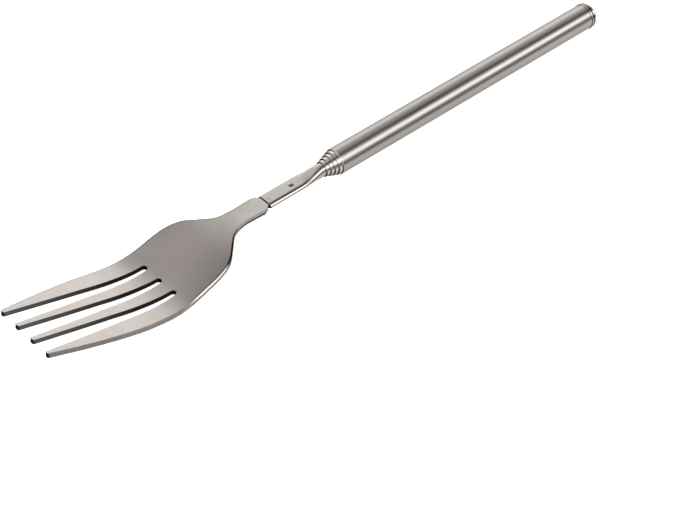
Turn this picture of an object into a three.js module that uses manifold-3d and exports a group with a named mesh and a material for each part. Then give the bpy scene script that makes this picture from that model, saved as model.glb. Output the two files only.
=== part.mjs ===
// A telescoping roasting fork: a pressed steel fork head whose tang is pinned in the flattened
// front of the innermost of five sliding tubes, which nest in a handle tube with an end cap.
// Millimetres. X runs along the fork, tines at -X and cap at +X; Y is its width; Z is up.
// The fork is closed, and it stands on Z = 0 with the origin under the middle of its length.
// A station is a distance along the fork from the upper edge of the tine tips.
import * as THREE from "three";
import { mergeVertices } from "three/addons/utils/BufferGeometryUtils.js";
import Module from "manifold-3d";

const wasm = await Module();
wasm.setup();

// ---- Driving dimensions ----
const CLOSED_LENGTH = 220; // from the upper edge of the tine tips to the end of the cap
const AXIS_Z = 7.57; // height of the tubes' common axis above the surface
const ROUND_SIDES = 32; // sides of every round tube

// Fork head.
const SHEET = 1.58;
const SHEET_WIDTH = 32; // blank width before trimming
const TANG_THICKNESS = 1.3;
const TANG_HALF_WIDTH = 1.95;
const TANG_START = 83.75;
const TANG_END = 98;
const NECK_CORNER = 81.6; // where the neck's chamfered corners begin
const NECK_END_HALF_WIDTH = 2.55;
const SLOT_ROOT = 44.65; // centre of each slot's round end
const SLOT_ROOT_RADIUS = 1.05;
const SLOT_TIP_HALF_WIDTH = 2.74;
const SLOT_ROOT_PITCH = 6.62;
const SLOT_TIP_PITCH = 6.94;
const TINE_NOSE = 0.45; // where the tines' sides begin to turn in at the tips
const TINE_NOSE_TAPER = 0.45; // how fast they turn in
const TRIM_FRONT = -0.7; // front of the trimming outline, ahead of the sheet
const DISH = 0.0122; // depth of the bowl's dish at the side, per square of the distance out
const DISH_START = 38; // the dish begins here,
const DISH_FULL = 57; // is fully formed here,
const DISH_FADE = 62; // keeps its depth to here
const DISH_END = 90; // and would be gone here
// Upper surface of the head along its middle: [station, height above the tube axis].
const MIDLINE = [
  [0, 4.05],
  [12, 0.8],
  [24, -2.38],
  [34, -4.85],
  [44, -6.0],
  [53, -4.97],
  [60, -3.12],
  [67, -0.6],
  [72, 0.62],
  [77, 0.86],
  [82, 0.8],
  [86, 0.65],
  [TANG_END, 0.65],
];
// Half-width of the head: [station, distance from the middle].
const HALF_WIDTH = [
  [0, 10.92],
  [12, 12.57],
  [25, 13.65],
  [38, 13.65],
  [50, 13.57],
  [57, 13.06],
  [61.9, 11.33],
  [65.6, 8.05],
  [69.6, 4.28],
  [73.7, 3.2],
  [77.8, 3.22],
  [NECK_CORNER, 3.33],
];

// Telescoping tubes: section 1 carries the head, section 6 is the handle.
const SECTIONS = 6;
const HANDLE_RADIUS = 4.2;
const RADIUS_STEP = 0.41;
const WALL = 0.2;
const HANDLE_MOUTH = 111;
const MOUTH_STEP = 1.25; // how far each mouth stands out of the next one
const LIP_LENGTH = 0.9; // rolled-in stop at each mouth
const LIP_CLEARANCE = 0.05;
const MOUTH_ROUND = 0.18;
const INNER_REAR = 209.5; // rear end of section 5
const REAR_STEP = 6.5; // each section's rear end is this far in front of the next one's
const GROOVE_DEPTH = 0.16;
const GROOVE_LENGTH = 5.2;
const GROOVE_TAPER = 0.3;
const GROOVE_SHOULDER = 0.6; // full-radius collar behind the groove
const SHIM_LENGTH = 4.4;
const SHIM_BORE_GAP = 0.03; // shim to the tube that it slides in
const SHIM_SEAT_GAP = 0.04; // shim to the groove that it turns on
const SHIM_SPLIT = 0.5; // gap between the two half-round shims

// Flattened front of section 1.
const FLAT_START = 84.15;
const FLAT_END = 96;
const ROUND_AGAIN = 106;
const FLAT_THICKNESS = 1.98;
const FLAT_CORNER_RADIUS = 1.5; // where the flat turns into the sloping side
const SIDE_CORNER_RADIUS = 0.45;
const SIDE_SLOPE = 48; // degrees between the flat and the sloping side
const PIN_STATION = 94.05;
const PIN_RADIUS = 0.7;
const PIN_HOLE_RADIUS = 0.77;
const PIN_RECESS = 0.12; // how far the pin's ends sit below the flats
const PIN_CHAMFER = 0.1;
const PIN_SIDES = 16;

// End cap.
const HANDLE_REAR = 217.05;
const FLANGE_RADIUS = 4.36;
const FLANGE_THICKNESS = 0.65;
const CAP_GROOVE_RADIUS = 3.8;
const CAP_GROOVE_WIDTH = 0.33;
const BUTTON_RADIUS = 4.22;
const BUTTON_SIDE = 0.3; // height of the button's straight side
const BUTTON_FLAT_RADIUS = 1.6;
const BUTTON_DOME_STEPS = 5;
const CAP_EDGE = 0.18; // size of the cap's edge chamfers
const SPIGOT_LENGTH = 4;
const SPIGOT_GAP = 0.03;

// ---- Finishes ----
const metal = (color, roughness) => new THREE.MeshStandardMaterial({ color, roughness, metalness: 1 });
const satinSteel = () => metal(0xc4c0bc, 0.42);
const brushedSteel = () => metal(0xb4afab, 0.34);
const polishedSteel = () => metal(0xd6d4d2, 0.14);
const springBronze = () => metal(0xb08850, 0.4);

// ---- Helpers ----
// The tine ends are square to the sheet, so their lower edges stand out past the upper ones.
const tipRun = MIDLINE[1][0] - MIDLINE[0][0];
const tipFall = MIDLINE[0][1] - MIDLINE[1][1];
const TIP_RAKE = (SHEET * tipFall) / Math.hypot(tipRun, tipFall);
const TIP_X = (TIP_RAKE - CLOSED_LENGTH) / 2;
const stationX = (station) => TIP_X + station;
const outerRadius = (section) => HANDLE_RADIUS - RADIUS_STEP * (SECTIONS - section);
const boreRadius = (section) => outerRadius(section) - WALL;
const mouthStation = (section) => HANDLE_MOUTH - MOUTH_STEP * (SECTIONS - section);
const rearStation = (section) => INNER_REAR - REAR_STEP * (SECTIONS - 1 - section);

function part(name, geometry, material) {
  const mesh = new THREE.Mesh(geometry, material);
  mesh.name = name;
  return mesh;
}

// A closed geometry as a manifold solid, for one boolean.
function toSolid(geometry) {
  const bare = geometry.clone();
  bare.deleteAttribute("normal");
  bare.deleteAttribute("uv");
  const merged = mergeVertices(bare, 1e-4);
  return new wasm.Manifold(
    new wasm.Mesh({
      numProp: 3,
      vertProperties: merged.attributes.position.array,
      triVerts: new Uint32Array(merged.index.array),
    }),
  );
}

function fromSolid(solid) {
  const mesh = solid.getMesh();
  const geometry = new THREE.BufferGeometry();
  geometry.setAttribute("position", new THREE.BufferAttribute(mesh.vertProperties, 3));
  geometry.setIndex(new THREE.BufferAttribute(mesh.triVerts, 1));
  geometry.computeVertexNormals();
  return geometry;
}

// Revolves [radius, station] points about the tube axis. They run with the metal on their left.
function revolve(profile) {
  const points = profile.map(([radius, station]) => new THREE.Vector2(radius, stationX(station)));
  return new THREE.LatheGeometry(points, ROUND_SIDES).rotateZ(-Math.PI / 2);
}

function moveVertices(geometry, move) {
  const position = geometry.attributes.position;
  const point = new THREE.Vector3();
  for (let i = 0; i < position.count; i++) {
    point.fromBufferAttribute(position, i);
    move(point);
    position.setXYZ(i, point.x, point.y, point.z);
  }
  geometry.computeVertexNormals();
  return geometry;
}

function uprightPin(radius, low, high) {
  return new THREE.CylinderGeometry(radius, radius, high - low, PIN_SIDES)
    .rotateX(Math.PI / 2)
    .translate(stationX(PIN_STATION), 0, AXIS_Z + (low + high) / 2);
}

// ---- Fork head ----
// Side view of the sheet: the upper surface, then the lower surface set back along the normal.
function sheetProfile() {
  const curve = new THREE.SplineCurve(MIDLINE.map(([s, z]) => new THREE.Vector2(stationX(s), AXIS_Z + z)));
  const steps = 38;
  const upper = [];
  const lower = [];
  for (let i = 0; i <= steps; i++) {
    const at = i / steps;
    const point = curve.getPointAt(at);
    const along = curve.getTangentAt(at);
    const thin = THREE.MathUtils.smoothstep(point.x, stationX(NECK_CORNER), stationX(TANG_START));
    const thickness = THREE.MathUtils.lerp(SHEET, TANG_THICKNESS, thin);
    upper.push(point);
    lower.push(new THREE.Vector2(point.x + along.y * thickness, point.y - along.x * thickness));
  }
  return new THREE.Shape([...upper, ...lower.reverse()]);
}

// The bowl's dish grows from the slots' roots and fades out into the neck.
function dishDepth(x) {
  const begin = THREE.MathUtils.smoothstep(x, stationX(DISH_START), stationX(DISH_FULL));
  const end = THREE.MathUtils.smoothstep(x, stationX(DISH_FADE), stationX(DISH_END));
  return DISH * begin * (1 - end);
}

function formedSheet() {
  const sheet = new THREE.ExtrudeGeometry(sheetProfile(), {
    depth: SHEET_WIDTH,
    steps: 12,
    bevelEnabled: false,
  });
  sheet.rotateX(Math.PI / 2).translate(0, SHEET_WIDTH / 2, 0);
  return moveVertices(sheet, (point) => {
    point.z += dishDepth(point.x) * point.y ** 2;
  });
}

// Plan view of the trimmed head: outer edge, tang, and three tapering slots open at the tips.
function headOutline() {
  const edge = new THREE.SplineCurve(HALF_WIDTH.map(([s, w]) => new THREE.Vector2(stationX(s), w)));
  const side = edge.getSpacedPoints(40).slice(1);
  side.push(new THREE.Vector2(stationX(TANG_START - 0.5), NECK_END_HALF_WIDTH));
  side.push(new THREE.Vector2(stationX(TANG_START), TANG_HALF_WIDTH));
  side.push(new THREE.Vector2(stationX(TANG_END), TANG_HALF_WIDTH));
  const outline = new THREE.Shape();
  const tipHalfWidth = HALF_WIDTH[0][1];
  const noseInset = (TINE_NOSE - TRIM_FRONT) * TINE_NOSE_TAPER;
  outline.moveTo(stationX(TRIM_FRONT), -tipHalfWidth + noseInset);
  outline.lineTo(stationX(TINE_NOSE), -tipHalfWidth);
  side.forEach((point) => outline.lineTo(point.x, -point.y));
  side.reverse().forEach((point) => outline.lineTo(point.x, point.y));
  outline.lineTo(stationX(TINE_NOSE), tipHalfWidth);
  outline.lineTo(stationX(TRIM_FRONT), tipHalfWidth - noseInset);
  for (const slot of [1, 0, -1]) addSlot(outline, slot, noseInset);
  return outline;
}

function addSlot(outline, slot, noseInset) {
  const tipMiddle = slot * SLOT_TIP_PITCH;
  const rootMiddle = slot * SLOT_ROOT_PITCH;
  outline.lineTo(stationX(TRIM_FRONT), tipMiddle + SLOT_TIP_HALF_WIDTH + noseInset);
  outline.lineTo(stationX(TINE_NOSE), tipMiddle + SLOT_TIP_HALF_WIDTH);
  outline.absarc(stationX(SLOT_ROOT), rootMiddle, SLOT_ROOT_RADIUS, Math.PI / 2, -Math.PI / 2, true);
  outline.lineTo(stationX(TINE_NOSE), tipMiddle - SLOT_TIP_HALF_WIDTH);
  outline.lineTo(stationX(TRIM_FRONT), tipMiddle - SLOT_TIP_HALF_WIDTH - noseInset);
}

function forkHead() {
  const trim = new THREE.ExtrudeGeometry(headOutline(), {
    depth: 4 * AXIS_Z,
    bevelEnabled: false,
    curveSegments: 8,
  }).translate(0, 0, -AXIS_Z);
  const pinHole = uprightPin(PIN_HOLE_RADIUS, -AXIS_Z, AXIS_Z);
  const solid = toSolid(formedSheet()).intersect(toSolid(trim)).subtract(toSolid(pinHole));
  return part("fork_head", fromSolid(solid), satinSteel());
}

// ---- Section 1: the neck tube ----
// Quarter of the pressed section, upper half: a point at a share of the way round the wall from
// the middle of the flat to the side. The flat turns into a sloping side, which turns upright.
function pressedSection(share, inset) {
  const slope = THREE.MathUtils.degToRad(SIDE_SLOPE);
  const corner = FLAT_CORNER_RADIUS;
  const side = SIDE_CORNER_RADIUS;
  const halfThickness = FLAT_THICKNESS / 2;
  const drop = halfThickness - corner * (1 - Math.cos(slope)) - side * Math.cos(slope);
  const sloping = drop / Math.sin(slope);
  const turns = corner * slope + side * (Math.PI / 2 - slope);
  const flat = (outerRadius(1) * Math.PI) / 2 - sloping - turns;
  const walked = share * (flat + sloping + turns);
  const afterCorner = walked - flat - corner * slope;
  const angle =
    afterCorner < sloping
      ? Math.min(Math.max(0, (walked - flat) / corner), slope)
      : slope + (afterCorner - sloping) / side;
  const onSlope = Math.min(Math.max(0, afterCorner), sloping);
  const firstTurn = Math.min(angle, slope);
  const y =
    Math.min(walked, flat) +
    corner * Math.sin(firstTurn) +
    onSlope * Math.cos(slope) +
    side * (Math.sin(angle) - Math.sin(firstTurn));
  const z =
    halfThickness -
    corner * (1 - Math.cos(firstTurn)) -
    onSlope * Math.sin(slope) -
    side * (Math.cos(firstTurn) - Math.cos(angle));
  return [y - inset * Math.sin(angle), z - inset * Math.cos(angle)];
}

// Presses a round tube flat at its front: each point keeps its share of the way round the wall.
function pressed(point) {
  const y = point.y;
  const z = point.z - AXIS_Z;
  const inset = outerRadius(1) - Math.hypot(y, z);
  const share = Math.atan2(Math.abs(y), Math.abs(z)) / (Math.PI / 2);
  const fade = THREE.MathUtils.smoothstep(point.x, stationX(FLAT_END), stationX(ROUND_AGAIN));
  const [flatY, flatZ] = pressedSection(share, inset);
  point.y = Math.sign(y) * THREE.MathUtils.lerp(flatY, Math.abs(y), fade);
  point.z = AXIS_Z + Math.sign(z) * THREE.MathUtils.lerp(flatZ, Math.abs(z), fade);
}

function neckTube() {
  const outer = outerRadius(1);
  const bore = boreRadius(1);
  const pressSteps = 8;
  const stations = [FLAT_START, (FLAT_START + FLAT_END) / 2];
  for (let i = 0; i <= pressSteps; i++) {
    stations.push(THREE.MathUtils.lerp(FLAT_END, ROUND_AGAIN, i / pressSteps));
  }
  const front = stations.map((station) => [outer, station]);
  const inside = stations.map((station) => [bore, station]).reverse();
  const profile = [...front, ...groovedRear(1), ...inside, front[0]];
  const tube = moveVertices(revolve(profile).translate(0, 0, AXIS_Z), pressed);
  const pinHole = uprightPin(PIN_HOLE_RADIUS, -AXIS_Z, AXIS_Z);
  return part("neck_tube", fromSolid(toSolid(tube).subtract(toSolid(pinHole))), polishedSteel());
}

function neckPin() {
  const top = FLAT_THICKNESS / 2 - PIN_RECESS;
  const half = [
    [PIN_RADIUS, top - PIN_CHAMFER],
    [PIN_RADIUS - PIN_CHAMFER, top],
    [0, top],
  ];
  const mirrored = half.map(([radius, height]) => [radius, -height]).reverse();
  const points = [...mirrored, ...half].map(([radius, height]) => new THREE.Vector2(radius, height));
  const pin = new THREE.LatheGeometry(points, PIN_SIDES)
    .rotateX(Math.PI / 2)
    .translate(stationX(PIN_STATION), 0, AXIS_Z);
  return part("neck_pin", pin, polishedSteel());
}

// ---- Sliding tubes ----
// Rear end of a sliding section: a groove for the shims between the wall and a full-radius collar.
function groovedRear(section) {
  const outer = outerRadius(section);
  const bore = boreRadius(section);
  const rear = rearStation(section);
  const grooveEnd = rear - GROOVE_SHOULDER;
  const grooveStart = grooveEnd - GROOVE_LENGTH;
  return [
    [outer, grooveStart],
    [outer - GROOVE_DEPTH, grooveStart + GROOVE_TAPER],
    [outer - GROOVE_DEPTH, grooveEnd - GROOVE_TAPER],
    [outer, grooveEnd],
    [outer, rear],
    [bore, rear],
    [bore, grooveEnd],
    [bore - GROOVE_DEPTH, grooveEnd - GROOVE_TAPER],
    [bore - GROOVE_DEPTH, grooveStart + GROOVE_TAPER],
    [bore, grooveStart],
  ];
}

function plainRear() {
  return [
    [HANDLE_RADIUS, HANDLE_REAR],
    [HANDLE_RADIUS - WALL, HANDLE_REAR],
  ];
}

// A tube whose mouth is rolled in to a lip that stops the shims of the tube inside it.
function lippedTube(section, rearPoints) {
  const outer = outerRadius(section);
  const bore = boreRadius(section);
  const lip = outerRadius(section - 1) + LIP_CLEARANCE;
  const mouth = mouthStation(section);
  const profile = [
    [lip + MOUTH_ROUND / 2, mouth],
    [outer - MOUTH_ROUND, mouth],
    [outer, mouth + MOUTH_ROUND],
    ...rearPoints,
    [bore, mouth + LIP_LENGTH],
    [lip, mouth + LIP_LENGTH],
    [lip, mouth + MOUTH_ROUND / 2],
    [lip + MOUTH_ROUND / 2, mouth],
  ];
  return revolve(profile).translate(0, 0, AXIS_Z);
}

// Two half-round bronze shims grip the bore of the next tube and run in this tube's groove.
function shimPair(section) {
  const inner = outerRadius(section) - GROOVE_DEPTH + SHIM_SEAT_GAP;
  const outer = boreRadius(section + 1) - SHIM_BORE_GAP;
  const start = rearStation(section) - GROOVE_SHOULDER - (GROOVE_LENGTH + SHIM_LENGTH) / 2;
  return ["upper", "lower"].map((half, i) => {
    const shape = new THREE.Shape();
    const openOuter = Math.asin(SHIM_SPLIT / 2 / outer);
    const openInner = Math.asin(SHIM_SPLIT / 2 / inner);
    shape.absarc(0, 0, outer, openOuter, Math.PI - openOuter, false);
    shape.absarc(0, 0, inner, Math.PI - openInner, openInner, true);
    const geometry = new THREE.ExtrudeGeometry(shape, {
      depth: SHIM_LENGTH,
      bevelEnabled: false,
      curveSegments: ROUND_SIDES / 2,
    });
    geometry.rotateX(Math.PI / 2).rotateZ(Math.PI / 2).rotateX(i * Math.PI);
    geometry.translate(stationX(start), 0, AXIS_Z);
    return part(`shim_${section}_${half}`, geometry, springBronze());
  });
}

// ---- End cap ----
function endCap() {
  const flangeEnd = HANDLE_REAR + FLANGE_THICKNESS;
  const buttonStart = flangeEnd + CAP_GROOVE_WIDTH;
  const spigotRadius = boreRadius(SECTIONS) - SPIGOT_GAP;
  const profile = [
    [0, HANDLE_REAR - SPIGOT_LENGTH],
    [spigotRadius, HANDLE_REAR - SPIGOT_LENGTH],
    [spigotRadius, HANDLE_REAR + SPIGOT_GAP],
    [FLANGE_RADIUS - CAP_EDGE, HANDLE_REAR + SPIGOT_GAP],
    [FLANGE_RADIUS, HANDLE_REAR + CAP_EDGE],
    [FLANGE_RADIUS, flangeEnd - CAP_EDGE],
    [FLANGE_RADIUS - CAP_EDGE, flangeEnd],
    [CAP_GROOVE_RADIUS, flangeEnd],
    [CAP_GROOVE_RADIUS, buttonStart],
    [BUTTON_RADIUS - CAP_EDGE, buttonStart],
    [BUTTON_RADIUS, buttonStart + CAP_EDGE],
  ];
  const domeStart = buttonStart + CAP_EDGE + BUTTON_SIDE;
  for (let i = 0; i <= BUTTON_DOME_STEPS; i++) {
    const turn = ((i / BUTTON_DOME_STEPS) * Math.PI) / 2;
    const radius = BUTTON_FLAT_RADIUS + (BUTTON_RADIUS - BUTTON_FLAT_RADIUS) * Math.cos(turn);
    const height = domeStart + (CLOSED_LENGTH - domeStart) * Math.sin(turn);
    profile.push([radius, height]);
  }
  profile.push([0, CLOSED_LENGTH]);
  return part("end_cap", revolve(profile).translate(0, 0, AXIS_Z), polishedSteel());
}

// ---- Assembly ----
const fork = new THREE.Group();
fork.add(forkHead(), neckPin(), neckTube());
for (let section = 2; section < SECTIONS; section++) {
  fork.add(part(`tube_${section}`, lippedTube(section, groovedRear(section)), polishedSteel()));
}
fork.add(part("handle_tube", lippedTube(SECTIONS, plainRear()), brushedSteel()), endCap());
for (let section = 1; section < SECTIONS; section++) fork.add(...shimPair(section));

export default fork;
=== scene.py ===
"""Looks of the telescoping roasting fork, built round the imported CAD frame.

Millimetres are used for the fork's own sizes and turned into metres when a mesh is made.
Stations are distances along the fork from the tine tips, as in the CAD source.
"""

import math

import bmesh
import bpy
import numpy as np
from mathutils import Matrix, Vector


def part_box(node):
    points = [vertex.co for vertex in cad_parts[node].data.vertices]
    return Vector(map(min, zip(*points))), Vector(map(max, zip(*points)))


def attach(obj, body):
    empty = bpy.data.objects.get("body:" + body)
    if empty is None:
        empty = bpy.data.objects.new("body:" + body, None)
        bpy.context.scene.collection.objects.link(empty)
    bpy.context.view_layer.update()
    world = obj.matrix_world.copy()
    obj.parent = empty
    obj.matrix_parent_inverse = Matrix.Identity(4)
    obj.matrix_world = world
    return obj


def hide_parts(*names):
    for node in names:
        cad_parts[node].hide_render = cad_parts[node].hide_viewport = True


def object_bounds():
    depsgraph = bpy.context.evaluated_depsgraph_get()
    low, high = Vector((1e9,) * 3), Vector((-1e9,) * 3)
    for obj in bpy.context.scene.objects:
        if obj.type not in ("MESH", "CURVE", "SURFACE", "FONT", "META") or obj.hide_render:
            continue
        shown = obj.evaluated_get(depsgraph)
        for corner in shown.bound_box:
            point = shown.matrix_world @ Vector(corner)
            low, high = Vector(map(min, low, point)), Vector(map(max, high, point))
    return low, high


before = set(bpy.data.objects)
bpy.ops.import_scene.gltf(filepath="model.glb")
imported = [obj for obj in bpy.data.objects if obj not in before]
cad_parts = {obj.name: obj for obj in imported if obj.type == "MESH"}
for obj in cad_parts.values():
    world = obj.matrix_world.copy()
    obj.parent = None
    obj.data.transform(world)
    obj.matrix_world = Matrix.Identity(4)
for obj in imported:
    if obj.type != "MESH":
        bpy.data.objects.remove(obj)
cad_low, cad_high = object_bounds()

# ---- Sizes taken from the frame ----
MM = 0.001


def span(node):
    """Lowest and highest corners of a CAD node in millimetres."""
    low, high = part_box(node)
    return np.array(low) / MM, np.array(high) / MM


HANDLE_LOW, HANDLE_HIGH = span("handle_tube")
CAP_LOW, CAP_HIGH = span("end_cap")
NECK_LOW, NECK_HIGH = span("neck_tube")
PIN_LOW, PIN_HIGH = span("neck_pin")
AXIS_Z = (HANDLE_LOW[2] + HANDLE_HIGH[2]) / 2
HANDLE_RADIUS = (HANDLE_HIGH[2] - HANDLE_LOW[2]) / 2
SECTIONS = 6
NECK_RADIUS = (NECK_HIGH[2] - NECK_LOW[2]) / 2
RADIUS_STEP = (HANDLE_RADIUS - NECK_RADIUS) / (SECTIONS - 1)

# ---- Sizes shared with the CAD source ----
WALL = 0.2
LIP_LENGTH = 0.9
LIP_CLEARANCE = 0.05  # gap between a lip and the tube inside it
GROOVE_DEPTH = 0.16
GROOVE_LENGTH = 5.2
GROOVE_TAPER = 0.3
GROOVE_SHOULDER = 0.6
FLAT_THICKNESS = 1.98
FLAT_END = 96
ROUND_AGAIN = 106
SHEET = 1.58
TANG_THICKNESS = 1.3
TANG_HALF_WIDTH = 1.95
TANG_START = 83.75
TANG_END = 98
NECK_CORNER = 81.6
NECK_END_HALF_WIDTH = 2.55
SLOT_ROOT = 44.65
SLOT_ROOT_RADIUS = 1.05
SLOT_TIP_PITCH = 6.94
SLOT_ROOT_PITCH = 6.62
TINE_NOSE = 0.45
TINE_NOSE_TAPER = 0.45
DISH = 0.0122
DISH_START = 38
DISH_FULL = 57
DISH_FADE = 62
DISH_END = 90
MIDLINE = [
    (0, 4.05), (12, 0.8), (24, -2.38), (34, -4.85), (44, -6.0), (53, -4.97), (60, -3.12),
    (67, -0.6), (72, 0.62), (77, 0.86), (82, 0.8), (86, 0.65), (TANG_END, 0.65),
]
HALF_WIDTH = [
    (0, 10.92), (12, 12.57), (25, 13.65), (38, 13.65), (50, 13.57), (57, 13.06), (61.9, 11.33),
    (65.6, 8.05), (69.6, 4.28), (73.7, 3.2), (77.8, 3.22), (NECK_CORNER, 3.33),
]
SLOT_HALF_WIDTH = [(0, 2.74), (15, 2.2), (30, 1.68), (SLOT_ROOT, SLOT_ROOT_RADIUS)]
PIN_HOLE_RADIUS = 0.77
FLANGE_THICKNESS = 0.65
CAP_GROOVE_RADIUS = 3.8
CAP_GROOVE_WIDTH = 0.33
BUTTON_RADIUS = 4.22
BUTTON_SIDE = 0.3
BUTTON_FLAT_RADIUS = 1.6
CAP_EDGE = 0.18
SPIGOT_GAP = 0.03

# The tine ends are square to the sheet, so their lower edges stand out past the upper ones.
TIP_FALL = (MIDLINE[0][1] - MIDLINE[1][1]) / (MIDLINE[1][0] - MIDLINE[0][0])
TIP_RAKE = SHEET * TIP_FALL / math.hypot(1, TIP_FALL)
TIP_X = cad_low.x / MM + TIP_RAKE

# ---- Fineness of the visible meshes ----
ROUND_SIDES = 128
EDGE_ROUND = 0.2
LANE_STEPS = 10
SHARP = math.radians(38)
SLOPE_REACH = 0.25  # half the distance over which a curve's slope is taken


def smoothstep(x, low, high):
    """Zero up to low, one from high on, and a smooth rise between them."""
    t = np.clip((np.asarray(x, float) - low) / (high - low), 0, 1)
    return t * t * (3 - 2 * t)


def spline(points, count=400):
    """Finely stepped points of the Catmull-Rom curve through the given points."""
    p = np.array([points[0], *points, points[-1]], float)
    t = np.linspace(0, len(points) - 1, count)
    i = np.minimum(t.astype(int), len(points) - 2)
    w = (t - i)[:, None]
    p0, p1, p2, p3 = p[i], p[i + 1], p[i + 2], p[i + 3]
    v0, v1 = (p2 - p0) / 2, (p3 - p1) / 2
    return (2 * p1 - 2 * p2 + v0 + v1) * w**3 + (3 * p2 - 3 * p1 - 2 * v0 - v1) * w**2 + v0 * w + p1


def along(points):
    """A function that gives the spline's second value at a station."""
    curve = spline(points)
    return lambda station: np.interp(station, curve[:, 0], curve[:, 1])


def slope_of(curve, station):
    """Slope of a curve at a station."""
    return (curve(station + SLOPE_REACH) - curve(station - SLOPE_REACH)) / (2 * SLOPE_REACH)


midline = along(MIDLINE)
half_width = along(HALF_WIDTH)
slot_width = along(SLOT_HALF_WIDTH)


# ---- Mesh helpers ----
def add_mesh(name, vertices, faces, materials, sharp=SHARP):
    """A smooth-shaded object from vertices in millimetres, with its sharp corners kept."""
    mesh = bpy.data.meshes.new(name)
    mesh.from_pydata([tuple(np.array(v) * MM) for v in vertices], [], faces)
    bm = bmesh.new()
    bm.from_mesh(mesh)
    bmesh.ops.remove_doubles(bm, verts=bm.verts, dist=1e-8)
    bmesh.ops.recalc_face_normals(bm, faces=bm.faces)
    bm.to_mesh(mesh)
    bm.free()
    return add_object(name, mesh, materials, sharp)


def add_object(name, mesh, materials, sharp=SHARP):
    """A smooth-shaded object from a mesh in metres, with its sharp corners kept."""
    mesh.shade_smooth()
    mesh.set_sharp_from_angle(angle=sharp)
    for material in materials:
        mesh.materials.append(material)
    return linked(name, mesh)


def linked(name, data):
    """An object in the scene that shows the given mesh, light or camera."""
    obj = bpy.data.objects.new(name, data)
    bpy.context.scene.collection.objects.link(obj)
    return obj


def arc(centre, radius, start, end, steps=6):
    """Points of an arc in the (radius, station) plane, angles in degrees from the radial direction."""
    angles = np.radians(np.linspace(start, end, steps + 1))
    return [(centre[0] + radius * math.cos(a), centre[1] + radius * math.sin(a)) for a in angles]


def revolve(name, profile, material, move=None, closed=True):
    """Turns (radius, station) points about the tube axis. An open profile starts and ends on the axis."""
    angles = np.linspace(0, 2 * np.pi, ROUND_SIDES, endpoint=False)
    ring = np.array(profile, float)
    radius, station = ring[:, 0][:, None], ring[:, 1][:, None]
    points = np.stack(
        [
            np.broadcast_to(TIP_X + station, (len(ring), ROUND_SIDES)),
            radius * np.sin(angles),
            AXIS_Z + radius * np.cos(angles),
        ],
        -1,
    )
    if move:
        points = move(points)
    rows = len(ring) if closed else len(ring) - 1
    faces = []
    for i in range(rows):
        j = (i + 1) % len(ring)
        for k in range(ROUND_SIDES):
            m = (k + 1) % ROUND_SIDES
            near, far = i * ROUND_SIDES, j * ROUND_SIDES
            faces.append((near + k, near + m, far + m, far + k))
    return add_mesh(name, points.reshape(-1, 3), faces, [material])


# ---- Materials ----
class Paint:
    """Short calls for one material's nodes."""

    def __init__(self, name):
        self.material = bpy.data.materials.new(name)
        self.material.use_nodes = True
        self.tree = self.material.node_tree
        self.bsdf = self.tree.nodes["Principled BSDF"]
        self.bsdf.inputs["Metallic"].default_value = 1
        self.where = self.tree.nodes.new("ShaderNodeTexCoord").outputs["Object"]

    def link(self, value, socket):
        if isinstance(value, bpy.types.NodeSocket):
            self.tree.links.new(value, socket)
        else:
            socket.default_value = value

    def stretched(self, scale):
        node = self.tree.nodes.new("ShaderNodeMapping")
        node.inputs["Scale"].default_value = scale
        self.link(self.where, node.inputs["Vector"])
        return node.outputs["Vector"]

    def noise(self, scale, detail=2, roughness=0.5):
        """Noise with its own frequency along X, Y and Z, per metre."""
        node = self.tree.nodes.new("ShaderNodeTexNoise")
        self.link(self.stretched(scale), node.inputs["Vector"])
        node.inputs["Scale"].default_value = 1
        node.inputs["Detail"].default_value = detail
        node.inputs["Roughness"].default_value = roughness
        return node.outputs["Fac"]

    def spread(self, value, low, high, start=0.3, end=0.7):
        node = self.tree.nodes.new("ShaderNodeMapRange")
        self.link(value, node.inputs["Value"])
        node.inputs["From Min"].default_value = start
        node.inputs["From Max"].default_value = end
        node.inputs["To Min"].default_value = low
        node.inputs["To Max"].default_value = high
        return node.outputs["Result"]

    def math(self, operation, a, b):
        node = self.tree.nodes.new("ShaderNodeMath")
        node.operation = operation
        self.link(a, node.inputs[0])
        self.link(b, node.inputs[1])
        return node.outputs["Value"]

    def mix(self, factor, a, b):
        node = self.tree.nodes.new("ShaderNodeMix")
        node.data_type = "RGBA"
        self.link(factor, node.inputs["Factor"])
        self.link(a, node.inputs["A"])
        self.link(b, node.inputs["B"])
        return node.outputs["Result"]

    def station(self):
        """Distance from the tine tips in millimetres."""
        node = self.tree.nodes.new("ShaderNodeSeparateXYZ")
        self.link(self.where, node.inputs["Vector"])
        scaled = self.math("MULTIPLY", node.outputs["X"], 1 / MM)
        return self.math("SUBTRACT", scaled, TIP_X)

    def between(self, low, high, soft=0.03):
        """One between two stations and zero outside them."""
        station = self.station()
        after = self.spread(station, 0, 1, low - soft, low + soft)
        before = self.spread(station, 1, 0, high - soft, high + soft)
        return self.math("MULTIPLY", after, before)

    def layer(self, name):
        """A value stored on the mesh's vertices."""
        node = self.tree.nodes.new("ShaderNodeAttribute")
        node.attribute_name = name
        return node.outputs["Fac"]

    def bump(self, height, distance, strength=1.0):
        node = self.tree.nodes.new("ShaderNodeBump")
        self.link(height, node.inputs["Height"])
        node.inputs["Strength"].default_value = strength
        node.inputs["Distance"].default_value = distance
        self.link(node.outputs["Normal"], self.bsdf.inputs["Normal"])

    def finish(self, color, roughness):
        self.link(color, self.bsdf.inputs["Base Color"])
        self.link(roughness, self.bsdf.inputs["Roughness"])
        return self.material


def grey(level, warmth=1.0):
    """A steel grey, a little warm."""
    return (level, level * (1 - 0.06 * warmth), level * (1 - 0.115 * warmth), 1)


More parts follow.
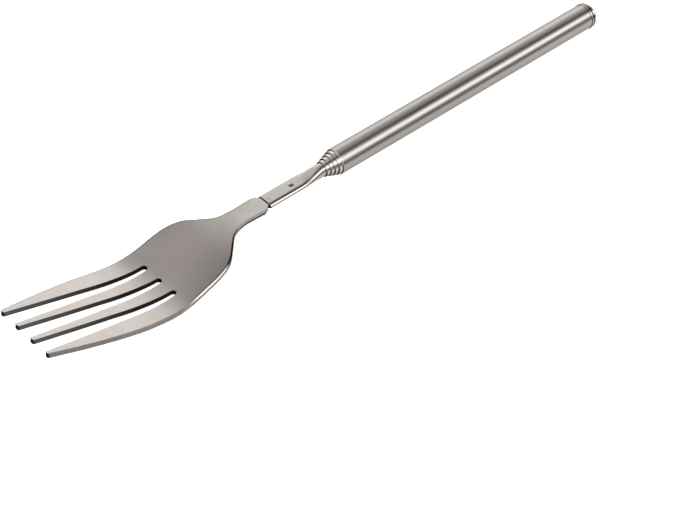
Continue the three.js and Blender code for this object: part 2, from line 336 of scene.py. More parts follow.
# Stations between which the steel's tones change over: (first, last).
BOWL_SHADE_STARTS = (37, 46)
BOWL_SHADE_ENDS = (62, 71)
SLOTS_DARKEN = (0, 34)
SLOTS_END = (46, 46.6)
DRESSED_STARTS = (42, 47)
NECK_STARTS = (66, 70)
BEND_TO_NECK = (60.2, 70)
TINE_END_SHADE = (0.1, 0.5)
HANDLE_SHADE_STATIONS = (115, 215)
BOWL_SHADE_TONE = (0.555, 0.497, 0.476, 1)


def drawn_steel(name, level, low, high, streak=8000, depth=1.2e-6, marks=(), cap_end_shade=0):
    """Tube steel: fine drawing lines along X, slow cloudiness and a few longer scratches.

    Marks are bands round the tube of another tone, used for painted shade and a painted highlight: (first
    station, last station, level). Cap-end shade is how much of a darker tone, painted shade, is mixed in
    towards the cap's end.
    """
    paint = Paint(name)
    lines = paint.noise((45, streak, streak), detail=3, roughness=0.6)
    cloud = paint.noise((120, 400, 400), detail=3)
    scratches = paint.noise((14, streak * 2.2, streak * 2.2), detail=1)
    tone = paint.mix(paint.spread(lines, 0, 1), grey(level * 0.93), grey(level))
    tone = paint.mix(paint.spread(cloud, 0, 0.5), tone, grey(level * 0.94, 1.3))
    tone = paint.mix(paint.spread(scratches, 0, 0.35, 0.66, 0.74), tone, grey(level * 0.75))
    if cap_end_shade:
        # Painted shade: the handle darkens towards the cap's end, where its highlight fades.
        shade_toward_cap = paint.spread(paint.station(), 0, cap_end_shade, *HANDLE_SHADE_STATIONS)
        tone = paint.mix(shade_toward_cap, tone, grey(level * 0.5))
    for first, last, mark in marks:
        tone = paint.mix(paint.between(first, last), tone, grey(mark))
    rough = paint.math("ADD", paint.spread(lines, low, high), paint.spread(cloud, -0.02, 0.03))
    paint.bump(paint.math("ADD", lines, paint.math("MULTIPLY", scratches, 0.6)), depth)
    return paint.finish(tone, rough)


def satin_head():
    """Stamped head: satin sheet with a short grain along X, with painted shade that darkens the bowl and
    the tang inside the tube.
    """
    paint = Paint("head_satin_steel")
    grain = paint.noise((260, 5200, 5200), detail=4, roughness=0.65)
    mottle = paint.noise((300, 420, 420), detail=4, roughness=0.6)
    rubs = paint.noise((90, 1500, 1500), detail=2)
    station = paint.station()
    into = paint.spread(station, 0, 1, *BOWL_SHADE_STARTS)
    out = paint.spread(station, 1, 0, *BOWL_SHADE_ENDS)
    bowl = paint.math("MULTIPLY", into, out)
    tone = paint.mix(paint.spread(grain, 0, 1), grey(0.79, 1.1), grey(0.86, 1.1))
    tone = paint.mix(paint.spread(mottle, 0, 0.6), tone, grey(0.77, 1.4))
    # Painted shade: the dished bowl gets a darker tone in place of the darker reflection it shows.
    tone = paint.mix(paint.math("MULTIPLY", bowl, 0.95), tone, BOWL_SHADE_TONE)
    # Painted shade: the tang is near black where it goes into the tube.
    tone = paint.mix(paint.between(TANG_START + 0.08, TANG_END + 1), tone, grey(0.03))
    rough = paint.math("ADD", paint.spread(grain, 0.28, 0.38), paint.spread(rubs, -0.03, 0.04))
    paint.bump(paint.math("ADD", grain, paint.math("MULTIPLY", mottle, 0.5)), 2.5e-6)
    return paint.finish(tone, rough)


def sheared_edge():
    """The sheet's cut edge: painted shade in the slots, grey outside the tines, dressed bright by the
    bowl.

    Behind the slots the edge at +Y is dark all along with painted shade, and the edge at -Y has painted
    shade on the bend to the neck and along the neck's lower half, where the cut tore.
    """
    paint = Paint("head_cut_edge")
    shear = paint.noise((2600, 2600, 300), detail=3, roughness=0.6)
    cloud = paint.noise((200, 200, 200), detail=2)
    split = paint.tree.nodes.new("ShaderNodeSeparateXYZ")
    paint.link(paint.where, split.inputs["Vector"])
    station = paint.station()
    behind_slots = paint.spread(station, 0, 1, *SLOTS_END)
    outside = paint.spread(paint.math("ABSOLUTE", split.outputs["Y"], 0), 0, 1, 10 * MM, 10.4 * MM)
    outside = paint.math("MAXIMUM", outside, behind_slots)
    # Painted shade in the slots, deepening towards their roots.
    toward_root = paint.spread(station, 0, 1, *SLOTS_DARKEN)
    slot = paint.mix(toward_root, grey(0.2, 0.4), grey(0.014, 0.4))
    tine = paint.mix(paint.spread(shear, 0, 1), grey(0.4), grey(0.5))
    tone = paint.mix(outside, slot, tine)
    dressed = paint.math("MULTIPLY", paint.spread(station, 0, 1, *DRESSED_STARTS), outside)
    tone = paint.mix(dressed, tone, grey(0.96, 0.4))
    through = paint.layer("through")
    # Painted shade: the dressed edge is darker over its lower part.
    lower = paint.math("MULTIPLY", paint.spread(through, 0, 1, 0.2, 0.35), dressed)
    tone = paint.mix(lower, tone, grey(0.4))
    # Painted dark reflection along the rounding between the bowl and its dressed chamfer.
    tone = paint.mix(paint.layer("corner"), tone, grey(0.06))
    # Painted shade on the +Y edge behind the slots.
    far = paint.spread(split.outputs["Y"], 0, 1, 1 * MM, 2 * MM)
    tone = paint.mix(paint.math("MULTIPLY", far, behind_slots), tone, grey(0.25))
    near = paint.math("SUBTRACT", 1, far)
    neck = paint.math("MULTIPLY", paint.spread(station, 0, 1, *NECK_STARTS), near)
    tone = paint.mix(neck, tone, grey(0.56))
    # Darker on the neck's lower half: painted shade, and the duller face where the cut tore.
    torn_and_shaded = paint.math("MULTIPLY", paint.spread(through, 0, 1, 0.52, 0.66), neck)
    tone = paint.mix(torn_and_shaded, tone, grey(0.03))
    # Painted shade on the -Y edge's bend to the neck.
    bend = paint.math("MULTIPLY", paint.between(*BEND_TO_NECK, 1), near)
    tone = paint.mix(bend, tone, grey(0.08))
    # Painted shade on the tine ends.
    tone = paint.mix(paint.spread(station, 1, 0, *TINE_END_SHADE), tone, grey(0.1))
    rough = paint.math("ADD", paint.spread(shear, 0.24, 0.36), paint.spread(cloud, -0.04, 0.04))
    rough = paint.math("MULTIPLY", rough, paint.spread(dressed, 1, 0.28, 0, 1))
    paint.bump(shear, 2e-6)
    return paint.finish(tone, rough)


def spring_bronze():
    """Shim strip: warm rolled bronze with rubbed lines along the slide."""
    paint = Paint("spring_bronze")
    lines = paint.noise((90, 4200, 4200), detail=3)
    stain = paint.noise((700, 900, 900), detail=3)
    tone = paint.mix(paint.spread(lines, 0, 1), (0.5, 0.31, 0.15, 1), (0.66, 0.45, 0.24, 1))
    tone = paint.mix(paint.spread(stain, 0, 0.5), tone, (0.36, 0.22, 0.12, 1))
    rough = paint.spread(lines, 0.26, 0.42)
    paint.bump(lines, 2e-6)
    return paint.finish(tone, rough)


HEAD = satin_head()
CUT_EDGE = sheared_edge()
HANDLE_MOUTH = HANDLE_LOW[0] - TIP_X
HANDLE_REAR = HANDLE_HIGH[0] - TIP_X
FLANGE_END = HANDLE_REAR + FLANGE_THICKNESS
BUTTON_START = FLANGE_END + CAP_GROOVE_WIDTH
# Painted shade in the seam between handle and cap and down in the cap's groove.
CAP_SEAM_AND_GROOVE_SHADE = [(HANDLE_REAR - 1, HANDLE_REAR + 0.1, 0.1), (FLANGE_END - 0.04, BUTTON_START + 0.15, 0.02)]
# A brighter tone on the handle's mouth rim: its polish, and partly a painted highlight.
HANDLE_RIM_POLISH_AND_HIGHLIGHT = [(HANDLE_MOUTH - 1, HANDLE_MOUTH + 0.3, 0.95)]
HANDLE = drawn_steel("handle_satin_steel", 0.73, 0.16, 0.24, marks=HANDLE_RIM_POLISH_AND_HIGHLIGHT, cap_end_shade=0.24)
NECK = drawn_steel("neck_polished_steel", 0.84, 0.05, 0.09, streak=9500, depth=5e-7)
CAP = drawn_steel("cap_polished_steel", 0.98, 0.05, 0.1, streak=6000, depth=3e-7, marks=CAP_SEAM_AND_GROOVE_SHADE)
# Painted shade: the pin is a very dark steel for the shade in its recess below the flats.
PIN = drawn_steel("pin_steel_painted_shade", 0.17, 0.25, 0.38, streak=7000)
BRONZE = spring_bronze()


# ---- Fork head ----
CHAMFER = 0.44
CHAMFER_SLOPE = 1.15
CHAMFER_STARTS = (42, 50)
CHAMFER_ENDS = (64, 72)
CHAMFER_BLEND = 0.14  # half-width of the rounding between the bowl and the chamfer
CORNER_LINE = 0.22  # reach of the painted dark reflection along that rounding
# Distances of the mesh lines from the head's outer edge.
RIM_LINES = np.array([0.27, 0.34, 0.41, 0.48, 0.55, 0.62, 0.7, 0.8])


def head_stations():
    """Stations of the mesh's cross lines, close together where the outline turns."""
    root = SLOT_ROOT + SLOT_ROOT_RADIUS * np.sin(np.radians(np.linspace(0, 90, 9)))
    runs = [
        [0, TINE_NOSE],
        np.arange(1.2, SLOT_ROOT - 0.6, 1.1),
        root,
        np.arange(root[-1] + 0.5, 56, 0.8),
        np.arange(56, NECK_CORNER, 0.5),
        [NECK_CORNER, TANG_START - 0.5, TANG_START],
        np.arange(TANG_START + 1, TANG_END, 1.6),
        [TANG_END],
    ]
    return np.concatenate([np.array(run, float) for run in runs])


def edge_half_width(station):
    """Half-width of the head's outer edge, from the tine tips through the neck to the tang."""
    corner = [NECK_CORNER, TANG_START - 0.5, TANG_START]
    widths = [half_width(NECK_CORNER), NECK_END_HALF_WIDTH, TANG_HALF_WIDTH]
    return half_width(station) if station < NECK_CORNER else np.interp(station, corner, widths)


def slot_edges(station, slot):
    """The two sides of a slot at a station. They meet at its root and stay together behind it."""
    root_end = SLOT_ROOT + SLOT_ROOT_RADIUS
    if station >= root_end:
        share = SLOT_ROOT_PITCH / edge_half_width(root_end)
        middle = slot * share * edge_half_width(station)
        return middle, middle
    middle = slot * np.interp(station, [0, SLOT_ROOT], [SLOT_TIP_PITCH, SLOT_ROOT_PITCH])
    if station <= SLOT_ROOT:
        half = slot_width(station)
    else:
        half = math.sqrt(max(0, SLOT_ROOT_RADIUS**2 - (station - SLOT_ROOT) ** 2))
    return middle - half, middle + half


def lane_edges(station):
    """Left and right edge of each of the four tines, or of the strips of bowl behind them."""
    outer = edge_half_width(station)
    edges = [-outer]
    for slot in (-1, 0, 1):
        edges.extend(slot_edges(station, slot))
    edges.append(outer)
    lanes = [(edges[2 * i], edges[2 * i + 1]) for i in range(4)]
    if station == 0:
        turn_in = TINE_NOSE * TINE_NOSE_TAPER
        lanes = [(left + turn_in, right - turn_in) for left, right in lanes]
    return lanes


def points_across(lane, left, right):
    """Places of the mesh lines across a lane, close together along the head's outer edge."""
    if lane == 0:
        inner = np.linspace(left + RIM_LINES[-1], right, LANE_STEPS)[1:]
        return np.concatenate([[left], left + RIM_LINES, inner])
    if lane == 3:
        inner = np.linspace(left, right - RIM_LINES[-1], LANE_STEPS)[:-1]
        return np.concatenate([inner, right - RIM_LINES[::-1], [right]])
    return np.linspace(left, right, LANE_STEPS + 1)


def flat_head():
    """The head as a flat plate in a bmesh: four lanes of quads, walls where they are open, round rims."""
    stations = head_stations()
    bm = bmesh.new()
    grid = []
    for station in stations:
        row = []
        for lane, (left, right) in enumerate(lane_edges(station)):
            across = points_across(lane, left, right)
            pair = [[bm.verts.new((station, y, z)) for y in across] for z in (0, -SHEET)]
            row.append(pair)
        grid.append(row)
    for lane in range(4):
        for i in range(len(stations) - 1):
            (top, low), (top2, low2) = grid[i][lane], grid[i + 1][lane]
            for k in range(len(top) - 1):
                bm.faces.new((top[k], top2[k], top2[k + 1], top[k + 1]))
                bm.faces.new((low[k + 1], low2[k + 1], low2[k], low[k]))
            open_behind = stations[i] < SLOT_ROOT + SLOT_ROOT_RADIUS - 1e-6
            if lane == 0 or open_behind:
                bm.faces.new((top[0], low[0], low2[0], top2[0]))
            if lane == 3 or open_behind:
                bm.faces.new((top2[-1], low2[-1], low[-1], top[-1]))
        for i in (0, -1):
            top, low = grid[i][lane]
            for k in range(len(top) - 1):
                bm.faces.new((top[k], top[k + 1], low[k + 1], low[k]))
    bmesh.ops.remove_doubles(bm, verts=bm.verts, dist=1e-5)
    bmesh.ops.recalc_face_normals(bm, faces=bm.faces)
    rims = [e for e in bm.edges if len(e.link_faces) == 2 and e.calc_face_angle() > math.radians(50)]
    bmesh.ops.bevel(
        bm, geom=rims, offset=EDGE_ROUND, segments=4, profile=0.5, affect="EDGES", clamp_overlap=True
    )
    return bm


def chamfer_share(station):
    """Share of the dressed chamfer's full size at a station."""
    return smoothstep(station, *CHAMFER_STARTS) * (1 - smoothstep(station, *CHAMFER_ENDS))


def inside_chamfer(station, y):
    """Distance from the inner corner of the bowl's dressed chamfer out towards the edge."""
    width = CHAMFER * chamfer_share(station)
    ahead = slope_of(edge_half_width, station)
    return width - (edge_half_width(station) - abs(y)) / math.hypot(1, ahead)


def chamfer_drop(station, y):
    """How far the dressed chamfer takes the upper surface down beside the bowl's outer edge."""
    out = inside_chamfer(station, y)
    blend = CHAMFER_BLEND * chamfer_share(station)
    if out <= -blend:
        return 0
    if out >= blend:
        return CHAMFER_SLOPE * out
    return CHAMFER_SLOPE * (out + blend) ** 2 / (4 * blend)


def head_height(station, y):
    """Height of the head's upper surface."""
    formed = smoothstep(station, DISH_START, DISH_FULL) * (1 - smoothstep(station, DISH_FADE, DISH_END))
    return AXIS_Z + midline(station) + DISH * formed * y**2


def on_chamfer(face):
    """Whether an upper face of the flat plate belongs to the bowl's dressed chamfer."""
    station, y, depth = face.calc_center_median()
    return depth > -SHEET / 2 and inside_chamfer(station, y) > -CORNER_LINE


def fork_head():
    """Bends the flat plate to the midline and the bowl's dish."""
    bm = flat_head()
    bm.normal_update()
    for face in bm.faces:
        face.material_index = 0 if abs(face.normal.z) > 0.6 and not on_chamfer(face) else 1
    through = bm.verts.layers.float.new("through")
    corner = bm.verts.layers.float.new("corner")
    for vertex in bm.verts:
        station, y, depth = vertex.co
        vertex[through] = -depth / SHEET
        # The corner layer holds where that painted dark reflection lies.
        from_corner = (inside_chamfer(station, y) + CORNER_LINE / 2) / CORNER_LINE
        vertex[corner] = chamfer_share(station) * math.exp(-(from_corner**2))
        slope = slope_of(midline, station)
        thin = smoothstep(station, NECK_CORNER, TANG_START)
        thickness = (1 - thin + thin * TANG_THICKNESS / SHEET) * math.hypot(1, slope)
        upper = min(1, max(0, 1 + 2 * depth / SHEET))
        rake = -depth * slope / math.hypot(1, slope) * (1 - smoothstep(station, 0, 4))
        z = head_height(station, y) + depth * thickness - upper * chamfer_drop(station, y)
        vertex.co = Vector((TIP_X + station + rake, y, z + slope * rake)) * MM
    mesh = bpy.data.meshes.new("fork_head_formed")
    bm.to_mesh(mesh)
    bm.free()
    obj = add_object("fork_head_formed", mesh, [HEAD, CUT_EDGE], math.radians(80))
    weighted = obj.modifiers.new("weighted", "WEIGHTED_NORMAL")
    weighted.keep_sharp = True
    return obj


# ---- Neck tube ----
PIN_X = (PIN_LOW[0] + PIN_HIGH[0]) / 2
CRIMP_STATION = 85.2  # a tool mark beside the pressed tube's mouth
CRIMP_Y = -0.3
PIN_RADIUS = 0.69
PIN_RISE = 0.08  # height of the pin's domed ends
# Punch marks in the flat: (X, Y, radius, depth, sharpness of the rim).
PIN_HOLE = (PIN_X, 0, PIN_HOLE_RADIUS, 0.3, 10)
CRIMP = (TIP_X + CRIMP_STATION, CRIMP_Y, 0.26, 0.16, 3)
# Bends of the pressed section: (radius, first and last angle of the normal from upright).
SHOULDER = ((0.4, 0, 20), (3.7, 20, 30), (0.4, 30, 48))
SIDE = ((0.25, 48, 58), (1.3, 58, 68), (0.3, 68, 90))


def pressed_quarter():
    """Quarter of the pressed section: distance walked, angle of the normal, place across, height."""
    bends = [(radius, math.radians(a), math.radians(b)) for radius, a, b in (*SHOULDER, *SIDE)]
    turns = sum(radius * (b - a) for radius, a, b in bends)
    drop = sum(radius * (math.cos(a) - math.cos(b)) for radius, a, b in bends)
    slope = math.radians(SHOULDER[-1][2])
    facet = (FLAT_THICKNESS / 2 - drop) / math.sin(slope)
    flat = NECK_RADIUS * math.pi / 2 - turns - facet
    knots = [(0, 0), (flat, 0)]
    for i, (radius, a, b) in enumerate(bends):
        if i == len(SHOULDER):
            knots.append((knots[-1][0] + facet, slope))
        knots.append((knots[-1][0] + radius * (b - a), b))
    lengths, angles = zip(*knots)
    walked = np.linspace(0, lengths[-1], 1500)
    angle = np.interp(walked, lengths, angles)
    step = walked[1]
    middle = (angle[1:] + angle[:-1]) / 2
    across = np.concatenate([[0], np.cumsum(np.cos(middle)) * step])
    height = FLAT_THICKNESS / 2 - np.concatenate([[0], np.cumsum(np.sin(middle)) * step])
    return walked, angle, across, height


def pressed_section(share, inset):
    """Points of the pressed section for shares of the way round a quarter of the wall."""
    walked, angle, across, height = pressed_quarter()
    at = share * walked[-1]
    turned = np.interp(at, walked, angle)
    y = np.interp(at, walked, across) - inset * np.sin(turned)
    z = np.interp(at, walked, height) - inset * np.cos(turned)
    return y, z


def punched(x, y, mark):
    """Depth of a round punch mark at a place on the flat."""
    centre_x, centre_y, radius, depth, sharpness = mark
    reach = np.hypot(x - centre_x, y - centre_y)
    return depth * np.exp(-((reach / radius) ** sharpness))


def pressed(points):
    """Presses a round tube flat at its front, then punches the pin's hole into both flats."""
    x, y, z = points[..., 0], points[..., 1], points[..., 2] - AXIS_Z
    fade = smoothstep(x - TIP_X, FLAT_END, ROUND_AGAIN)
    share = np.arctan2(np.abs(y), np.abs(z)) / (np.pi / 2)
    flat_y, flat_z = pressed_section(share, NECK_RADIUS - np.hypot(y, z))
    new_y = np.sign(y) * (flat_y * (1 - fade) + np.abs(y) * fade)
    new_z = flat_z * (1 - fade) + np.abs(z) * fade
    new_z = new_z - punched(x, new_y, PIN_HOLE) - np.where(z > 0, punched(x, new_y, CRIMP), 0)
    return np.stack([x, new_y, AXIS_Z + np.sign(z) * new_z], -1)


def grooved_rear(outer, rear):
    """Rear end of a sliding tube: the rolled groove that holds its shims, from outside to inside."""
    groove_end = rear - GROOVE_SHOULDER
    groove_start = groove_end - GROOVE_LENGTH
    outside = [
        (outer, groove_start),
        (outer - GROOVE_DEPTH, groove_start + GROOVE_TAPER),
        (outer - GROOVE_DEPTH, groove_end - GROOVE_TAPER),
        (outer, groove_end),
        (outer, rear),
    ]
    inside = [(radius - WALL, station) for radius, station in reversed(outside)]
    return [*outside, *inside]


def neck_tube():
    """Innermost tube, pressed flat at its front, with mesh lines close together at its marks."""
    outer = NECK_RADIUS
    start = NECK_LOW[0] - TIP_X
    rear = NECK_HIGH[0] - TIP_X
    rim = WALL / 2
    mouth = arc((outer - rim, start + rim), rim, -180, 0)
    plain = np.arange(start + 0.4, ROUND_AGAIN + 1, 0.22)
    near_pin = np.arange(PIN_X - TIP_X - 1, PIN_X - TIP_X + 1, 0.06)
    near_crimp = np.arange(CRIMP_STATION - 0.5, CRIMP_STATION + 0.5, 0.08)
    run = np.unique(np.concatenate([plain, near_pin, near_crimp]))
    outside = [(outer, s) for s in run]
    inside = [(outer - WALL, s) for s in run[::-1]]
    profile = [*mouth, *outside, *grooved_rear(outer, rear), *inside]
    return revolve("neck_tube_pressed", profile, NECK, move=pressed)


def neck_pin():
    """Plain pin with lightly domed ends, set below both flats."""
    seat = PIN_HIGH[2] - AXIS_Z - PIN_RISE
    steps = 12
    sides = 48
    verts = []
    faces = []
    for side in (1, -1):
        for i in range(steps + 1):
            angle = math.pi / 2 * i / steps
            r = PIN_RADIUS * math.sin(angle)
            z = side * (seat + PIN_RISE * math.cos(angle))
            for k in range(sides):
                turn = 2 * math.pi * k / sides
                verts.append((PIN_X + r * math.cos(turn), r * math.sin(turn), AXIS_Z + z))
    rings = 2 * (steps + 1)
    order = [*range(steps + 1), *reversed(range(steps + 1, rings))]
    for a, b in zip(order, order[1:]):
        for k in range(sides):
            m = (k + 1) % sides
            faces.append((a * sides + k, a * sides + m, b * sides + m, b * sides + k))
    return add_mesh("neck_pin_plain", verts, faces, [PIN])


# ---- Sliding tubes and handle ----
LIP_ROUND = 0.07
MOUTH_ROUND = 0.16
HANDLE_MOUTH_ROUND = 0.2
HANDLE_REAR_ROUND = 0.08
# How far a lip's inner step ends short of its full length, at the tube's wall and at its own edge.
# The shims meet the step at full travel, so it must not stand behind the CAD's.
STEP_SHORT_AT_WALL = 0.02
STEP_SHORT_AT_EDGE = 0.12
# Painted shade at each sliding tube's mouth, in the gap round the tube inside it.
MOUTH_SHADE_TONE = 0.3


def rolled_mouth(outer, lip, mouth, round_out):
    """Front end of a tube, from the inside step of its lip round to the outer wall."""
    return [
        (outer - WALL, mouth + LIP_LENGTH - STEP_SHORT_AT_WALL),
        (lip, mouth + LIP_LENGTH - STEP_SHORT_AT_EDGE),
        *arc((lip + LIP_ROUND, mouth + LIP_ROUND), LIP_ROUND, 180, 270),
        *arc((outer - round_out, mouth + round_out), round_out, -90, 0, 8),
    ]


def sliding_tube(section):
    """One of the four tubes between the neck tube and the handle."""
    low, high = span(f"tube_{section}")
    outer = (high[2] - low[2]) / 2
    mouth = low[0] - TIP_X
    steel = drawn_steel(
        f"tube_{section}_polished_steel",
        1.0,
        0.04,
        0.08,
        streak=9500,
        depth=3e-7,
        marks=[(mouth - 1, mouth + 0.02, MOUTH_SHADE_TONE)],
    )
    profile = [
        *rolled_mouth(outer, outer - RADIUS_STEP + LIP_CLEARANCE, mouth, MOUTH_ROUND),
        *grooved_rear(outer, high[0] - TIP_X),
    ]
    return revolve(f"tube_{section}_drawn", profile, steel)


def handle_tube():
    """Satin outer tube, open at its rear for the cap."""
    lip = HANDLE_RADIUS - RADIUS_STEP + LIP_CLEARANCE
    rear_corner = (HANDLE_RADIUS - HANDLE_REAR_ROUND, HANDLE_REAR - HANDLE_REAR_ROUND)
    profile = [
        *rolled_mouth(HANDLE_RADIUS, lip, HANDLE_MOUTH, HANDLE_MOUTH_ROUND),
        *arc(rear_corner, HANDLE_REAR_ROUND, 0, 90, 4),
        (HANDLE_RADIUS - WALL, HANDLE_REAR),
    ]
    return revolve("handle_tube_satin", profile, HANDLE)


# ---- End cap ----
def end_cap():
    """Plug with a spigot in the handle, a flange, a groove and a low domed button."""
    flange = (CAP_HIGH[2] - CAP_LOW[2]) / 2
    front = CAP_LOW[0] - TIP_X
    back = CAP_HIGH[0] - TIP_X
    spigot = HANDLE_RADIUS - WALL - SPIGOT_GAP
    dome_start = BUTTON_START + CAP_EDGE + BUTTON_SIDE
    dome = []
    for angle in np.radians(np.linspace(0, 90, 24)):
        radius = BUTTON_FLAT_RADIUS + (BUTTON_RADIUS - BUTTON_FLAT_RADIUS) * math.cos(angle)
        dome.append((radius, dome_start + (back - dome_start) * math.sin(angle)))
    profile = [
        (0, front),
        (spigot, front),
        (spigot, HANDLE_REAR + SPIGOT_GAP),
        *arc((flange - CAP_EDGE, HANDLE_REAR + SPIGOT_GAP + CAP_EDGE), CAP_EDGE, -90, 0),
        *arc((flange - CAP_EDGE, FLANGE_END - CAP_EDGE), CAP_EDGE, 0, 90),
        (CAP_GROOVE_RADIUS, FLANGE_END),
        (CAP_GROOVE_RADIUS, BUTTON_START),
        *arc((BUTTON_RADIUS - CAP_EDGE, BUTTON_START + CAP_EDGE), CAP_EDGE, -90, 0),
        *dome,
        (0, back),
    ]
    return revolve("end_cap_turned", profile, CAP, closed=False)


# ---- Build the pieces ----
def place(piece, body, node):
    """Puts a piece on its body in place of a CAD node."""
    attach(piece, body)
    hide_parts(node)


place(fork_head(), "section_1", "fork_head")
place(neck_tube(), "section_1", "neck_tube")
place(neck_pin(), "section_1", "neck_pin")
for section in range(2, SECTIONS):
    place(sliding_tube(section), f"section_{section}", f"tube_{section}")
place(handle_tube(), "handle", "handle_tube")
place(end_cap(), "handle", "end_cap")
for name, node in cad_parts.items():
    if name.startswith("shim"):
        node.data.materials.clear()
        node.data.materials.append(BRONZE)


# ---- Studio ----
BOWL_REST_X = -66  # where the bowl is lowest
FLANGE_SETBACK = 3  # from the end of the cap to where its flange rests
FLOOR_HALF_SIZE = 6  # metres
BACKDROP_RADIUS = 9  # metres


def plain_material(name, level, glow):
    """Matt paper that also glows by itself."""
    paint = Paint(name)
    paint.bsdf.inputs["Metallic"].default_value = 0
    paint.bsdf.inputs["Specular IOR Level"].default_value = 0
    paint.bsdf.inputs["Emission Strength"].default_value = glow
    paint.bsdf.inputs["Emission Color"].default_value = (1, 1, 1, 1)
    cloud = paint.noise((3, 3, 3), detail=2)
    tone = paint.mix(paint.spread(cloud, 0, 1), (level, level, level, 1), (level * 0.99,) * 3 + (1,))
    return paint.finish(tone, 0.9)


def floor():
    """Pale floor, tilted so that the bowl and the cap's flange both rest on it."""
    rest_x = BOWL_REST_X * MM
    flange_x = (CAP_HIGH[0] - FLANGE_SETBACK) * MM
    slope = CAP_LOW[2] * MM / (flange_x - rest_x)
    size = FLOOR_HALF_SIZE
    corners = [(-size, -size), (size, -size), (size, size), (-size, size)]
    mesh = bpy.data.meshes.new("floor")
    mesh.from_pydata([(x, y, (x - rest_x) * slope) for x, y in corners], [], [(0, 1, 2, 3)])
    obj = linked("floor", mesh)
    mesh.materials.append(plain_material("floor_paper", 0.8, 0.82))
    obj.visible_glossy = False


def backdrop():
    """A plain pale dome that only the camera sees."""
    bm = bmesh.new()
    bmesh.ops.create_uvsphere(bm, u_segments=48, v_segments=24, radius=BACKDROP_RADIUS)
    mesh = bpy.data.meshes.new("backdrop")
    bm.to_mesh(mesh)
    bm.free()
    obj = linked("backdrop", mesh)
    mesh.materials.append(plain_material("backdrop_paper", 0.0, 1.0))
    for kind in ("glossy", "diffuse", "shadow", "transmission"):
        setattr(obj, f"visible_{kind}", False)


# Brightness of the studio round the fork's long axis: (degrees from overhead towards -Y, level).
SIDE_BANDS = [
    (-180, 0.46), (-160, 0.69), (-138, 0.88), (-115, 0.68), (-92, 0.49), (-76, 0.72), (-62, 0.93),
    (-50, 0.82), (-38, 0.63), (-24, 0.38), (-10, 0.3), (4, 0.14), (14, 0.07), (22, 0.14), (31, 0.42),
    (42, 1.1), (54, 1.6), (64, 1.04), (73, 0.42), (82, 0.15), (91, 0.12), (102, 0.31), (116, 0.59),
    (150, 0.56), (167, 0.39), (180, 0.46),
]
# The same for the half of the studio on the tines' side, which the head mirrors.
FRONT_BANDS = [
    (-180, 0.4), (-90, 0.24), (-70, 0.29), (-50, 0.42), (-33, 0.55), (-12, 0.6), (0, 0.5),
    (10, 0.12), (20, 0.1), (30, 0.5), (45, 1.3), (60, 1.4), (75, 0.6), (85, 0.2), (100, 0.45),
    (180, 0.4),
]
STRONGEST = 1.6
# Ranges of a direction's X over which the studio changes, +X being the cap's end.
FRONT_TO_SIDE = (0.2, 0.42)
CAP_END_LIFTS = (0.55, 0.7)
CAP_END_DARKENS = (0.84, 0.95)
TINE_END_FADES = (-0.35, -0.1)
UNDER_FADES = (-0.5, 0.0)  # the same for its Z


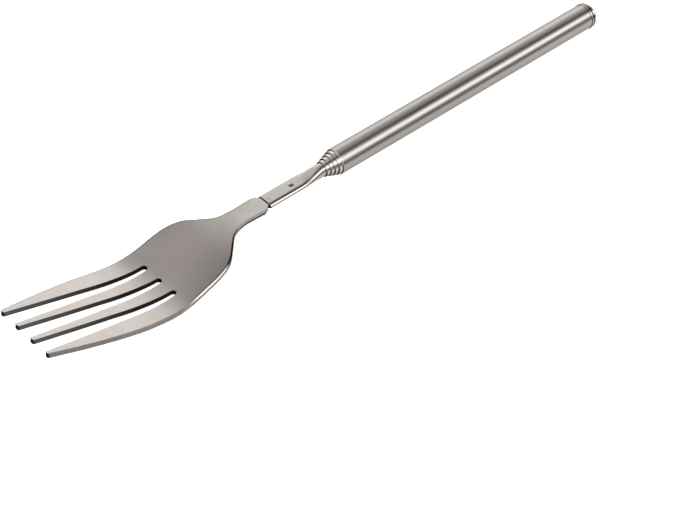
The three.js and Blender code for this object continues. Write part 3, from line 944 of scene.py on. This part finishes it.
def studio():
    """The bands as the world's brightness, darker straight behind the cap and low down at the tines."""
    world = bpy.data.worlds.new("studio")
    bpy.context.scene.world = world
    world.use_nodes = True
    tree = world.node_tree
    nodes, links = tree.nodes, tree.links
    background = nodes["Background"]

    def math_node(operation, *values):
        node = nodes.new("ShaderNodeMath")
        node.operation = operation
        for value, socket in zip(values, node.inputs):
            if isinstance(value, bpy.types.NodeSocket):
                links.new(value, socket)
            else:
                socket.default_value = value
        return node.outputs["Value"]

    def ease(value, low, high):
        node = nodes.new("ShaderNodeMapRange")
        node.interpolation_type = "SMOOTHSTEP"
        links.new(value, node.inputs["Value"])
        node.inputs["From Min"].default_value = low
        node.inputs["From Max"].default_value = high
        return node.outputs["Result"]

    def bands(stops_wanted, share):
        ramp = nodes.new("ShaderNodeValToRGB")
        ramp.color_ramp.interpolation = "EASE"
        stops = ramp.color_ramp.elements
        stops.remove(stops[0])
        for i, (angle, level) in enumerate(stops_wanted):
            at = (angle + 180) / 360
            stop = stops.new(at) if i else stops[0]
            stop.position = at
            stop.color = (level / STRONGEST,) * 3 + (1,)
        links.new(share, ramp.inputs["Fac"])
        return math_node("MULTIPLY", ramp.outputs["Color"], STRONGEST)

    split = nodes.new("ShaderNodeSeparateXYZ")
    links.new(nodes.new("ShaderNodeTexCoord").outputs["Generated"], split.inputs["Vector"])
    x, y, z = (split.outputs[axis] for axis in "XYZ")
    turn = math_node("ARCTAN2", math_node("MULTIPLY", y, -1), z)
    share = math_node("MULTIPLY_ADD", turn, 1 / (2 * math.pi), 0.5)
    front = bands(FRONT_BANDS, share)
    side = bands(SIDE_BANDS, share)
    change = math_node("SUBTRACT", side, front)
    level = math_node("MULTIPLY_ADD", change, ease(x, *FRONT_TO_SIDE), front)
    lift = math_node("MULTIPLY_ADD", ease(x, *CAP_END_LIFTS), 0.18, 1)
    level = math_node("MULTIPLY", level, lift)
    darkening = math_node("MULTIPLY_ADD", ease(x, *CAP_END_DARKENS), -0.93, 1)
    level = math_node("MULTIPLY", level, darkening)
    at_tines = math_node("SUBTRACT", 1, ease(x, *TINE_END_FADES))
    under = math_node("SUBTRACT", 1, ease(z, *UNDER_FADES))
    shade = math_node("MULTIPLY", at_tines, under)
    level = math_node("MULTIPLY", level, math_node("MULTIPLY_ADD", shade, -0.85, 1))
    links.new(level, background.inputs["Strength"])
    background.inputs["Color"].default_value = (1, 1, 1, 1)


def overhead_light():
    """Large soft light that shades the floor and leaves no mark in the steel."""
    lamp = bpy.data.lights.new("overhead", "AREA")
    lamp.shape = "DISK"
    lamp.size = 1.6
    lamp.energy = 12
    obj = linked("overhead", lamp)
    obj.location = (-0.2, 0.3, 1.6)
    obj.visible_glossy = False


def camera():
    """Camera above and to the side of the tines, aimed beside the middle of the fork."""
    azimuth = math.radians(-41.637)
    elevation = math.radians(43.698)
    distance = 581.34 * MM
    target = Vector((-21.405, -27.614, AXIS_Z - 4.291)) * MM
    back = Vector(
        (
            math.sin(azimuth) * math.cos(elevation),
            -math.cos(azimuth) * math.cos(elevation),
            math.sin(elevation),
        )
    )
    data = bpy.data.cameras.new("camera")
    data.sensor_width = 36
    data.lens = 108.6
    data.clip_start = 0.01
    obj = linked("camera", data)
    obj.location = target + back * distance
    obj.rotation_mode = "QUATERNION"
    obj.rotation_quaternion = (-back).to_track_quat("-Z", "Y")
    bpy.context.scene.camera = obj


floor()
backdrop()
studio()
overhead_light()
camera()
bpy.context.scene.view_settings.view_transform = "Standard"
